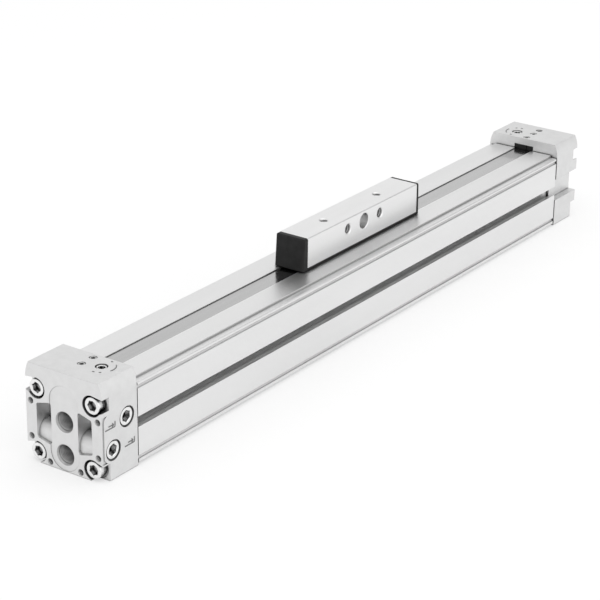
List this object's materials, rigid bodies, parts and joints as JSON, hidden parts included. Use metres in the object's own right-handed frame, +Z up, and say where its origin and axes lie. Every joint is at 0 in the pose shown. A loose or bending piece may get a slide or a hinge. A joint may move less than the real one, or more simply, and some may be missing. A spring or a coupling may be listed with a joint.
{
  "type": "rodless pneumatic cylinder",
  "caption": "Slotted rodless air cylinder: a piston inside an extruded barrel drives a carriage on top through a slot closed by two steel bands, with cushioned end caps.",
  "frame": {"origin": "middle of the cylinder's underside, halfway between the end caps", "axes": "+X along the barrel towards the far cap, -Y the side with the plugs, +Z up"},
  "size_m": [0.43, 0.045, 0.06],
  "materials": {
    "barrel_anodised": "satin clear anodised extrusion",
    "block_anodised": "satin clear anodised, machined",
    "cap_casting": "fine blasted die casting",
    "turned_alloy": "turned",
    "band_steel": "rolled and polished spring steel",
    "bright_steel": "zinc plated",
    "dark_steel": "black oxide",
    "black_plastic": "moulded",
    "black_rubber": "moulded",
    "magnet_ferrite": "sintered"
  },
  "bodies": {
    "cylinder": {"barrel": "barrel_anodised", "cover_band": "band_steel", "sealing_band": "band_steel", "near_side_plugs": "bright_steel", "near_end_cap": "cap_casting", "near_gasket": "black_rubber", "near_cap_screws": "bright_steel", "near_band_clamp": "black_plastic", "near_clamp_screws": "dark_steel", "near_cushion_boss": "turned_alloy", "far_end_cap": "cap_casting", "far_gasket": "black_rubber", "far_cap_screws": "bright_steel", "far_band_clamp": "black_plastic", "far_clamp_screws": "dark_steel", "far_cushion_boss": "turned_alloy"},
    "carriage": {"carriage_block": "block_anodised", "carriage_slide_strips": "black_plastic", "carriage_foot_screws": "dark_steel", "piston_core": "turned_alloy", "near_end_plate": "black_plastic", "near_wiper": "black_rubber", "near_band_guide": "black_plastic", "near_piston_head": "turned_alloy", "near_piston_seal": "black_rubber", "near_guide_ring": "black_plastic", "near_cushion_seal": "black_rubber", "near_magnet": "magnet_ferrite", "far_end_plate": "black_plastic", "far_wiper": "black_rubber", "far_band_guide": "black_plastic", "far_piston_head": "turned_alloy", "far_piston_seal": "black_rubber", "far_guide_ring": "black_plastic", "far_cushion_seal": "black_rubber", "far_magnet": "magnet_ferrite"},
    "near_adjuster": {"near_cushion_screw": "bright_steel"},
    "far_adjuster": {"far_cushion_screw": "bright_steel"}
  },
  "joints": [
    {"name": "carriage_slide", "type": "slide", "parent": "cylinder", "child": "carriage", "axis": [1, 0, 0], "range_m": [-0.126, 0.104], "deforming": ["cover_band", "sealing_band"]},
    {"name": "near_cushion_adjust", "type": "hinge", "parent": "cylinder", "child": "near_adjuster", "pos_m": [-0.1993, -0.0094, 0.0477], "axis": [0, 0, 1], "range_deg": [-540, 540]},
    {"name": "far_cushion_adjust", "type": "hinge", "parent": "cylinder", "child": "far_adjuster", "pos_m": [0.1993, 0.0094, 0.0477], "axis": [0, 0, 1], "range_deg": [-540, 540]}
  ]
}
